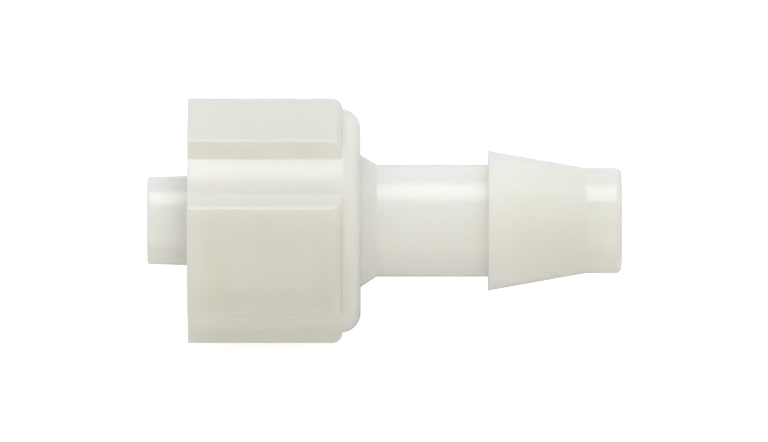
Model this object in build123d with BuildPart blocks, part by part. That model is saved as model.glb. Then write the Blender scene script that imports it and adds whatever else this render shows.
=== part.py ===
from build123d import *

import os
from math import cos, radians, sin, sqrt, tan

# Male luer lock fitting with an integral lock collar and a single hose barb.
#
# The fitting is one injection moulding in natural polypropylene.  It lies along X, with the luer
# cone towards -X, the hose barb towards +X and the origin on the axis at the collar's open face.
# A 6 % cone stands inside the collar, which carries a two-start thread for the lugs of a female
# luer and four broad grip pads outside.  Behind the collar's web a short fillet cone leads to the
# shank, and the barb's one sharp shoulder holds a hose of 3/16 in (4.8 mm) bore.
# The grooves between the pads lie at 0, 90, 180 and 270 degrees, so that the fitting rests on the
# two pad edges beside its lowest groove with its axis level.

# Luer cone, 6 % on the diameter
luer_tip_diameter = 3.96
luer_taper = 0.06
luer_projection = 1.85  # tip beyond the collar's open face
luer_bore_diameter = 2.4
luer_edge_round = 0.12

# Lock collar
collar_length = 7.83
collar_root_diameter = 10.16  # over the grooves between the pads
collar_back_round = 0.89
socket_diameter = 8.0  # at the roots of the thread
socket_depth = 5.85
socket_corner_round = 0.3
socket_mouth_chamfer = 0.15

# Two-start lock thread, right-handed, 5 mm lead
thread_starts = 2
thread_lead = 5.0
thread_crest_diameter = 7.0
thread_crest_width = 0.35
thread_flank_angle = 25.0
thread_start = 0.8  # where each ridge begins, at the middle of its width
thread_run_out = 0.5  # how far its end is sunk into the web
thread_bite = 0.1  # how far its root is sunk into the collar's wall

# Grip pads
pad_count = 4
pad_height = 0.48
pad_setback = 0.83  # the pads stop short of the collar's back
pad_crest_angle = 55.3
pad_flank_angle = 7.3  # seen from the axis, from the crest's edge to the groove's floor
pad_end_round = 0.46
pad_edge_round = 0.16
groove_corner_round = 0.14

# Hose end
fillet_cone_diameter = 6.02  # where it leaves the collar's back
fillet_cone_length = 0.73
shank_diameter = 5.1
shank_length = 5.06
barb_diameter = 6.37
barb_length = 4.44
nose_diameter = 4.8
nose_length = 1.63
nose_round = 0.3
hose_bore_diameter = 3.4
hose_bore_chamfer = 0.15
bore_step_start = 7.6  # where the narrow luer bore begins to widen
bore_step_length = 0.7

# Places along the axis, from the collar's open face
tip_x = -luer_projection
pad_length = collar_length - pad_setback
shank_x = collar_length + fillet_cone_length
barb_x = shank_x + shank_length
nose_x = barb_x + barb_length
end_x = nose_x + nose_length

# Radii
tip_radius = luer_tip_diameter / 2
cone_root_radius = tip_radius + luer_taper / 2 * (luer_projection + socket_depth)
luer_bore_radius = luer_bore_diameter / 2
hose_bore_radius = hose_bore_diameter / 2
socket_radius = socket_diameter / 2
collar_root_radius = collar_root_diameter / 2
pad_radius = collar_root_radius + pad_height
thread_crest_radius = thread_crest_diameter / 2
nose_radius = nose_diameter / 2
core_radius = socket_radius + 0.6  # the core that the collar's outer ring overlaps
ring_inner_radius = core_radius - 0.06

# Where the pads end, the round of the collar's back has already begun
round_centre_x = collar_length - collar_back_round
pad_end_radius = (
    collar_root_radius
    - collar_back_round
    + sqrt(collar_back_round**2 - (pad_length - round_centre_x) ** 2)
)


def on_circle(radius, angle):
    """The point of the Y-Z plane at that radius, with the angle in degrees from +Y towards +Z."""
    return (radius * cos(radians(angle)), radius * sin(radians(angle)))


# The collar's outer ring: its outline with the four pads and grooves, run along the axis, then
# trimmed to an envelope whose back end is rounded.
with BuildPart() as pads:
    with BuildSketch(Plane.YZ.offset(-0.5)) as outline:
        with BuildLine():
            for quarter in range(pad_count):
                crest_from = 360 / pad_count * (quarter + 0.5) - pad_crest_angle / 2
                crest_to = crest_from + pad_crest_angle
                floor_from = crest_to + pad_flank_angle
                floor_to = crest_from + 360 / pad_count - pad_flank_angle
                CenterArc((0, 0), pad_radius, crest_from, pad_crest_angle)
                Line(on_circle(pad_radius, crest_to), on_circle(collar_root_radius, floor_from))
                CenterArc((0, 0), collar_root_radius, floor_from, floor_to - floor_from)
                Line(
                    on_circle(collar_root_radius, floor_to),
                    on_circle(pad_radius, crest_from + 360 / pad_count),
                )
        make_face()
        groove_corners = [v for v in outline.vertices() if Vector(v.X, v.Y).length < pad_radius - 0.1]
        fillet(groove_corners, groove_corner_round)
        pad_edges = [v for v in outline.vertices() if Vector(v.X, v.Y).length > pad_radius - 0.01]
        fillet(pad_edges, pad_edge_round)
        Circle(ring_inner_radius, mode=Mode.SUBTRACT)
    extrude(amount=pad_length + 1.0)
    with BuildSketch(Plane.XY) as envelope:
        with BuildLine():
            Polyline((0, 0), (0, pad_radius), (pad_length, pad_radius), (pad_length, 0), close=True)
        make_face()
        back_corner = envelope.vertices().sort_by_distance((pad_length, pad_radius, 0))[0]
        fillet(back_corner, pad_end_round)
    revolve(axis=Axis.X, mode=Mode.INTERSECT)

# One ridge of the lock thread, swept along a helix with its root sunk into the collar's wall
# and its end sunk into the web.
with BuildPart() as ridge:
    with BuildLine() as path:
        Helix(
            thread_lead,
            socket_depth + thread_run_out - thread_start,
            socket_radius,
            center=(thread_start, 0, 0),
            direction=(1, 0, 0),
        )
    begin = path.line @ 0
    radial = Vector(0, begin.Y, begin.Z).normalized()
    flank_run = (socket_radius + thread_bite - thread_crest_radius) * tan(radians(thread_flank_angle))
    section_plane = Plane(origin=begin, x_dir=radial, z_dir=Vector(1, 0, 0).cross(radial))
    with BuildSketch(section_plane) as ridge_section:
        with BuildLine():
            Polyline(
                (thread_crest_radius - socket_radius, -thread_crest_width / 2),
                (thread_bite, -thread_crest_width / 2 - flank_run),
                (thread_bite, thread_crest_width / 2 + flank_run),
                (thread_crest_radius - socket_radius, thread_crest_width / 2),
                close=True,
            )
        make_face()
    sweep(path=path.line, is_frenet=True)

# The moulding: one half section turned about the axis, with the pads and the thread added.
with BuildPart() as fitting:
    with BuildSketch(Plane.XY) as half_section:
        with BuildLine():
            Polyline(
                (tip_x, luer_bore_radius),
                (tip_x, tip_radius),
                (socket_depth, cone_root_radius),
                (socket_depth, socket_radius),
                (0, socket_radius),
                (0, core_radius),
                (pad_length, core_radius),
                (pad_length, pad_end_radius),
            )
            RadiusArc(
                (pad_length, pad_end_radius),
                (collar_length, collar_root_radius - collar_back_round),
                collar_back_round,
            )
            Polyline(
                (collar_length, collar_root_radius - collar_back_round),
                (collar_length, fillet_cone_diameter / 2),
                (shank_x, shank_diameter / 2),
                (barb_x, shank_diameter / 2),
                (barb_x, barb_diameter / 2),
                (nose_x, nose_radius),
                (end_x, nose_radius),
                (end_x, hose_bore_radius),
                (bore_step_start + bore_step_length, hose_bore_radius),
                (bore_step_start, luer_bore_radius),
                (tip_x, luer_bore_radius),
            )
        make_face()
        for x, radius, size in (
            (socket_depth, socket_radius, socket_corner_round),
            (socket_depth, cone_root_radius, socket_corner_round),
            (tip_x, tip_radius, luer_edge_round),
            (end_x, nose_radius, nose_round),
        ):
            fillet(half_section.vertices().sort_by_distance((x, radius, 0))[0], size)
        for x, radius, size in (
            (0, socket_radius, socket_mouth_chamfer),
            (end_x, hose_bore_radius, hose_bore_chamfer),
        ):
            chamfer(half_section.vertices().sort_by_distance((x, radius, 0))[0], size)
    revolve(axis=Axis.X)
    for start in range(thread_starts):
        add(ridge.part.rotate(Axis.X, 360 / thread_starts * start))
    add(pads.part)

fitting.part.label = "luer_lock_fitting"
os.makedirs("parts", exist_ok=True)
export_step(fitting.part, "parts/luer_lock_fitting.step")

print("centre of mass", fitting.part.center(CenterOf.MASS))
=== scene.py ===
import logging
import math
from dataclasses import dataclass, field
from enum import Enum

import bpy
import numpy as np
from mathutils import Matrix, Vector


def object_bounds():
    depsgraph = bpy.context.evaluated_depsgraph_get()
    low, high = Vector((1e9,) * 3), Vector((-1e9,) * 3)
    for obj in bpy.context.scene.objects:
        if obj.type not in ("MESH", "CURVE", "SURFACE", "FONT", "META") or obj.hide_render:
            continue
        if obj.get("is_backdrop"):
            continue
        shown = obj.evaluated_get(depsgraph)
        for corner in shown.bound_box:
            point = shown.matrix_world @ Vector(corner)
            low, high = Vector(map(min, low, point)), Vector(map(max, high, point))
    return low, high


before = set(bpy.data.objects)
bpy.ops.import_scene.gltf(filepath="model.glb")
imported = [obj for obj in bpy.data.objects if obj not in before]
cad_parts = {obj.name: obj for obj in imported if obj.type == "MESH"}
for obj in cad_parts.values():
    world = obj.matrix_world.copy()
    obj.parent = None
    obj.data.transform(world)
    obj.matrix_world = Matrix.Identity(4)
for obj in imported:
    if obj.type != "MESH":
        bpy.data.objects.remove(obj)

# Dresses a moulded luer lock fitting: its milky plastic, its table, its light and its camera.
#
# The fitting lies along +X with the luer cone towards -X, its bore on the X axis and the origin in
# the plane of the lock collar's open face.  All lengths are in metres and all angles in degrees.

LOG = logging.getLogger("luer_lock_fitting")
MM = 0.001
NODE = "luer_lock_fitting"
WHITE = (1.0, 1.0, 1.0, 1.0)

Colour = tuple[float, float, float, float]


class Rule(Enum):
    """How a math node joins its two values."""

    SUM = "ADD"
    GREATER = "MAXIMUM"


class Ramp(Enum):
    """How a map range node runs from its low end to its high end."""

    STRAIGHT = "LINEAR"
    EASED = "SMOOTHSTEP"


@dataclass(frozen=True)
class Wiring:
    """A shader tree being wired, with short ways to add the nodes that it uses more than once."""

    tree: bpy.types.NodeTree

    def add(self, kind: str) -> bpy.types.Node:
        """Add a node of the kind and return it."""
        return self.tree.nodes.new(kind)

    def link(self, source: bpy.types.NodeSocket, target: bpy.types.NodeSocket) -> None:
        """Join an output to an input."""
        self.tree.links.new(source, target)

    def join(
        self,
        rule: Rule,
        first: bpy.types.NodeSocket,
        second: bpy.types.NodeSocket,
        clamp: bool = False,
    ) -> bpy.types.NodeSocket:
        """Join two values into one.

        Args:
            rule: how they are joined.
            first: the first value.
            second: the second value.
            clamp: whether the result is held between 0 and 1.

        Returns:
            The result.
        """
        node = self.add("ShaderNodeMath")
        node.operation = rule.value
        node.use_clamp = clamp
        self.link(first, node.inputs[0])
        self.link(second, node.inputs[1])
        return node.outputs["Value"]

    def remap(
        self,
        value: bpy.types.NodeSocket,
        source: tuple[float, float],
        target: tuple[float, float],
        ramp: Ramp = Ramp.STRAIGHT,
    ) -> bpy.types.NodeSocket:
        """Carry a value from one range to another, and hold it inside the second.

        Args:
            value: the value.
            source: the ends of its own range.
            target: the ends of the new range.
            ramp: the way between them.

        Returns:
            The value in its new range.
        """
        node = self.add("ShaderNodeMapRange")
        node.interpolation_type = ramp.value
        node.inputs["From Min"].default_value, node.inputs["From Max"].default_value = source
        node.inputs["To Min"].default_value, node.inputs["To Max"].default_value = target
        self.link(value, node.inputs["Value"])
        return node.outputs["Result"]

    def noise(
        self, place: bpy.types.NodeSocket, scale: float, detail: float
    ) -> bpy.types.NodeSocket:
        """Add a cloud of noise.

        Args:
            place: the coordinates that it is laid out on.
            scale: its fineness, per metre.
            detail: how many finer layers it has.

        Returns:
            Its value, from 0 to 1.
        """
        node = self.add("ShaderNodeTexNoise")
        node.inputs["Scale"].default_value = scale
        node.inputs["Detail"].default_value = detail
        self.link(place, node.inputs["Vector"])
        return node.outputs["Fac"]

    def blend(
        self, share: bpy.types.NodeSocket, first: Colour, second: Colour
    ) -> bpy.types.NodeSocket:
        """Blend two colours.

        Args:
            share: how much of the second colour there is, from 0 to 1.
            first: the first colour.
            second: the second colour.

        Returns:
            The blended colour.
        """
        node = self.add("ShaderNodeMix")
        node.data_type = "RGBA"
        node.inputs["A"].default_value = first
        node.inputs["B"].default_value = second
        self.link(share, node.inputs["Factor"])
        return node.outputs["Result"]


@dataclass(frozen=True)
class MilkyPlastic:
    """Unpigmented polypropylene: milky, translucent, semi-gloss, with painted shade in its base
    colour.

    The base colour runs from a lighter colour on the thin parts, painted light for the light that
    passes through thin walls, to a darker and yellower colour on the thick parts, painted shade for
    the light that thick walls hold back. The share of painted shade is a sum of three shares: one
    that grows with the distance from the bore's axis, one that grows along the axis towards the
    hose barb's nose, and a faint cloud from the flow in the mould, which is the plastic's own
    uneven tone.
    """

    name: str = "milky_plastic_with_painted_shade"
    # Painted shade and painted light: the thick parts' colour is darker and yellower for the light
    # that thick walls hold back, the thin parts' colour lighter for the light that passes through
    # thin walls.
    thick_painted_shade_colour: Colour = (0.765, 0.757, 0.678, 1.0)
    thin_painted_light_colour: Colour = (0.885, 0.878, 0.805, 1.0)
    wall_shade_radii: tuple[float, float] = (4.7 * MM, 5.5 * MM)
    nose_shade_places: tuple[float, float] = (11.0 * MM, 18.0 * MM)
    nose_shade_share: float = 0.6
    flow_share: float = 0.04
    flow_scale: float = 260.0
    flow_detail: float = 3.0
    skin_scale: float = 2600.0
    skin_detail: float = 2.0
    skin_relief: float = 0.15
    skin_depth: float = 0.01 * MM
    roughness: float = 0.16
    roughness_spread: float = 0.05
    scatter_length: float = 1.3 * MM
    scatter_radius: tuple[float, float, float] = (1.0, 0.95, 0.8)
    refraction: float = 1.49
    clearness: float = 0.3

    def build(self) -> bpy.types.Material:
        """Make the material.

        Returns:
            The material, ready for the fitting's slots.
        """
        material = bpy.data.materials.new(self.name)
        material.use_nodes = True
        material.node_tree.nodes.clear()
        wiring = Wiring(material.node_tree)
        output = wiring.add("ShaderNodeOutputMaterial")
        shader = wiring.add("ShaderNodeBsdfPrincipled")
        shader.inputs["Subsurface Weight"].default_value = 1.0
        shader.inputs["Subsurface Radius"].default_value = self.scatter_radius
        shader.inputs["Subsurface Scale"].default_value = self.scatter_length
        shader.inputs["IOR"].default_value = self.refraction
        shader.inputs["Transmission Weight"].default_value = self.clearness
        wiring.link(shader.outputs["BSDF"], output.inputs["Surface"])
        place = wiring.add("ShaderNodeTexCoord").outputs["Object"]
        self.tint_and_shade(wiring, place, shader)
        self.finish_skin(wiring, place, shader)
        return material

    def tint_and_shade(
        self, wiring: Wiring, place: bpy.types.NodeSocket, shader: bpy.types.Node
    ) -> None:
        """Paint shade into the plastic's colour: darker and yellower where it is thick, lighter
        where it is thin, with a faint cloud of its own uneven tone.

        Args:
            wiring: the material's tree.
            place: the Object coordinates.
            shader: the material's shader.
        """
        across = wiring.add("ShaderNodeVectorMath")
        across.operation = "MULTIPLY"
        across.inputs[1].default_value = (0.0, 1.0, 1.0)
        wiring.link(place, across.inputs[0])
        radius = wiring.add("ShaderNodeVectorMath")
        radius.operation = "LENGTH"
        wiring.link(across.outputs["Vector"], radius.inputs[0])
        # Painted shade that grows from the shank's radius out to the collar's pads.
        wall = wiring.remap(radius.outputs["Value"], self.wall_shade_radii, (0.0, 1.0), Ramp.EASED)

        along = wiring.add("ShaderNodeSeparateXYZ")
        wiring.link(place, along.inputs["Vector"])
        # Painted shade that grows along the axis towards the barb's nose.
        nose = wiring.remap(
            along.outputs["X"], self.nose_shade_places, (0.0, self.nose_shade_share), Ramp.EASED
        )
        flow = wiring.noise(place, self.flow_scale, self.flow_detail)
        cloud = wiring.remap(flow, (0.0, 1.0), (-self.flow_share, self.flow_share))
        # The share of painted shade, with the flow cloud's own uneven tone added on top.
        shade_share = wiring.join(Rule.SUM, wall, wiring.join(Rule.SUM, nose, cloud), clamp=True)
        colour = wiring.blend(shade_share, self.thin_painted_light_colour, self.thick_painted_shade_colour)
        wiring.link(colour, shader.inputs["Base Color"])

    def finish_skin(
        self, wiring: Wiring, place: bpy.types.NodeSocket, shader: bpy.types.Node
    ) -> None:
        """Give the surface the slightly uneven gloss of a mould's wall.

        Args:
            wiring: the material's tree.
            place: the Object coordinates.
            shader: the material's shader.
        """
        skin = wiring.noise(place, self.skin_scale, self.skin_detail)
        gloss = wiring.remap(
            skin,
            (0.0, 1.0),
            (self.roughness - self.roughness_spread, self.roughness + self.roughness_spread),
        )
        wiring.link(gloss, shader.inputs["Roughness"])
        bump = wiring.add("ShaderNodeBump")
        bump.inputs["Strength"].default_value = self.skin_relief
        bump.inputs["Distance"].default_value = self.skin_depth
        wiring.link(skin, bump.inputs["Height"])
        wiring.link(bump.outputs["Normal"], shader.inputs["Normal"])


@dataclass
class Fitting:
    """The moulding itself."""

    node: str = NODE
    finish: MilkyPlastic = field(default_factory=MilkyPlastic)

    def dress(self) -> bpy.types.Object:
        """Give the moulding its plastic.

        Returns:
            The moulding's object.
        """
        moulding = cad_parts[self.node]
        material = self.finish.build()
        for slot in moulding.material_slots:
            slot.material = material
        if not moulding.material_slots:
            moulding.data.materials.append(material)
        return moulding


@dataclass(frozen=True)
class SoftPanel:
    """A rectangular soft light, placed by its direction from the fitting."""

    name: str
    azimuth: float
    elevation: float
    distance: float
    width: float
    height: float
    power: float
    colour: tuple[float, float, float]
    in_gloss: bool = True

    def build(self, target: Vector) -> bpy.types.Object:
        """Hang the panel and turn it to the fitting.

        Args:
            target: the point that the panel faces.

        Returns:
            The lamp's object.
        """
        lamp = bpy.data.lights.new(self.name, "AREA")
        lamp.shape = "RECTANGLE"
        lamp.size = self.width
        lamp.size_y = self.height
        lamp.energy = self.power
        lamp.color = self.colour
        panel = bpy.data.objects.new(self.name, lamp)
        bpy.context.scene.collection.objects.link(panel)
        panel.visible_glossy = self.in_gloss
        azimuth, elevation = math.radians(self.azimuth), math.radians(self.elevation)
        towards = Vector((
            math.cos(elevation) * math.cos(azimuth),
            math.cos(elevation) * math.sin(azimuth),
            math.sin(elevation),
        ))
        panel.location = target + towards * self.distance
        panel.rotation_euler = towards.to_track_quat("Z", "X").to_euler()
        return panel


@dataclass
class Studio:
    """A white table in a white room, under three soft panels."""

    floor_half_width: float = 0.6
    floor_colour: Colour = (0.70, 0.70, 0.70, 1.0)
    floor_roughness: float = 0.9
    floor_glow: float = 0.6
    sky_strength: float = 0.85
    front_colour: Colour = (0.52, 0.505, 0.45, 1.0)
    back_colour: Colour = (1.44, 1.43, 1.53, 1.0)
    light_target: tuple[float, float, float] = (8.9 * MM, 0.0, 0.0)
    panels: tuple[SoftPanel, ...] = (
        SoftPanel("back_panel", 90.0, 51.0, 0.6, 0.42, 0.36, 1.42, (0.88, 0.94, 1.0)),
        SoftPanel("top_panel", -90.0, 67.0, 0.75, 0.60, 0.60, 0.20, (1.0, 1.0, 0.98)),
        SoftPanel("front_panel", -90.0, 12.0, 0.6, 0.70, 0.28, 1.80, (1.0, 0.985, 0.93), False),
    )

    def lay_floor(self, height: float) -> bpy.types.Object:
        """Lay the table's top: a square of side 2 * floor_half_width.

        Args:
            height: the level of the fitting's lowest point.

        Returns:
            The floor's object.
        """
        side = np.array([-1.0, 1.0]) * self.floor_half_width
        x, y = np.meshgrid(side, side, indexing="ij")
        points = np.stack([x.ravel(), y.ravel(), np.full(x.size, height)], axis=1)
        mesh = bpy.data.meshes.new("table_top")
        mesh.from_pydata(points.tolist(), [], [(0, 2, 3, 1)])
        floor = bpy.data.objects.new("table_top", mesh)
        bpy.context.scene.collection.objects.link(floor)
        mesh.materials.append(self.paint_floor())
        floor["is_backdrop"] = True
        return floor

    def paint_floor(self) -> bpy.types.Material:
        """Make the table's paint, which the camera sees as white and the fitting as pale grey.

        Returns:
            The material.
        """
        material = bpy.data.materials.new("white_table")
        material.use_nodes = True
        wiring = Wiring(material.node_tree)
        shader = material.node_tree.nodes["Principled BSDF"]
        shader.inputs["Base Color"].default_value = self.floor_colour
        shader.inputs["Roughness"].default_value = self.floor_roughness
        shader.inputs["Specular IOR Level"].default_value = 0.0
        shader.inputs["Emission Color"].default_value = WHITE
        seen = wiring.add("ShaderNodeLightPath").outputs["Is Camera Ray"]
        glow = wiring.remap(seen, (0.0, 1.0), (0.0, self.floor_glow))
        wiring.link(glow, shader.inputs["Emission Strength"])
        return material

    def wrap_sky(self) -> bpy.types.World:
        """Surround the table with a room that is white to look at and lights more from behind.

        Returns:
            The world.
        """
        world = bpy.data.worlds.new("white_room")
        world.use_nodes = True
        world.node_tree.nodes.clear()
        wiring = Wiring(world.node_tree)
        output = wiring.add("ShaderNodeOutputWorld")
        across = wiring.add("ShaderNodeSeparateXYZ")
        around = wiring.add("ShaderNodeTexCoord").outputs["Generated"]
        wiring.link(around, across.inputs["Vector"])
        side = wiring.remap(across.outputs["Y"], (-1.0, 1.0), (0.0, 1.0))
        fill = wiring.add("ShaderNodeBackground")
        wiring.link(wiring.blend(side, self.front_colour, self.back_colour), fill.inputs["Color"])
        fill.inputs["Strength"].default_value = self.sky_strength
        white = wiring.add("ShaderNodeBackground")
        white.inputs["Color"].default_value = WHITE
        white.inputs["Strength"].default_value = 1.0

        ray = wiring.add("ShaderNodeLightPath")
        seen = wiring.join(Rule.GREATER, ray.outputs["Is Camera Ray"], ray.outputs["Is Glossy Ray"])
        seen = wiring.join(Rule.GREATER, seen, ray.outputs["Is Transmission Ray"])
        mix = wiring.add("ShaderNodeMixShader")
        wiring.link(seen, mix.inputs["Fac"])
        wiring.link(fill.outputs["Background"], mix.inputs[1])
        wiring.link(white.outputs["Background"], mix.inputs[2])
        wiring.link(mix.outputs["Shader"], output.inputs["Surface"])
        bpy.context.scene.world = world
        return world

    def hang_panels(self) -> list[bpy.types.Object]:
        """Hang every soft panel round the fitting.

        Returns:
            The lamps' objects.
        """
        target = Vector(self.light_target)
        return [panel.build(target) for panel in self.panels]


@dataclass
class ViewPoint:
    """A long lens that looks almost down on the fitting, square to its bore."""

    rise: float = 67.0
    lens: float = 700.0
    sensor: float = 36.0
    field_width: float = 34.9 * MM
    aim: tuple[float, float, float] = (8.895 * MM, 0.0, 0.0)
    drop: float = 0.016 * MM
    clip_shares: tuple[float, float] = (0.1, 3.0)

    def build(self) -> bpy.types.Object:
        """Set the camera up.

        Returns:
            The camera's object.
        """
        angle = math.radians(self.rise)
        towards = Vector((0.0, -math.cos(angle), math.sin(angle)))
        up = Vector((0.0, math.sin(angle), math.cos(angle)))
        right = up.cross(towards)
        distance = self.field_width * self.lens / self.sensor
        data = bpy.data.cameras.new("long_lens")
        data.lens = self.lens
        data.sensor_width = self.sensor
        data.clip_start, data.clip_end = (distance * share for share in self.clip_shares)
        camera = bpy.data.objects.new("long_lens", data)
        turn = Matrix((right, up, towards)).transposed()
        place = Vector(self.aim) - up * self.drop + towards * distance
        camera.matrix_world = Matrix.Translation(place) @ turn.to_4x4()
        bpy.context.scene.collection.objects.link(camera)
        bpy.context.scene.camera = camera
        return camera


def main() -> None:
    """Build everything in order and report it."""
    logging.basicConfig(level=logging.INFO, format="%(name)s: %(message)s")
    cad_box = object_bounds()
    moulding = Fitting().dress()
    LOG.info("moulding %s dressed", moulding.name)
    studio = Studio()
    low = float(cad_box[0][2])
    floor = studio.lay_floor(low)
    LOG.info("floor %s laid at %.5f", floor.name, low)
    world = studio.wrap_sky()
    LOG.info("room %s wrapped round it", world.name)
    for panel in studio.hang_panels():
        LOG.info("lamp %s hung", panel.name)
    camera = ViewPoint().build()
    LOG.info("camera %s set up", camera.name)
    bpy.context.scene.view_settings.view_transform = "Standard"


if __name__ == "__main__":
    main()
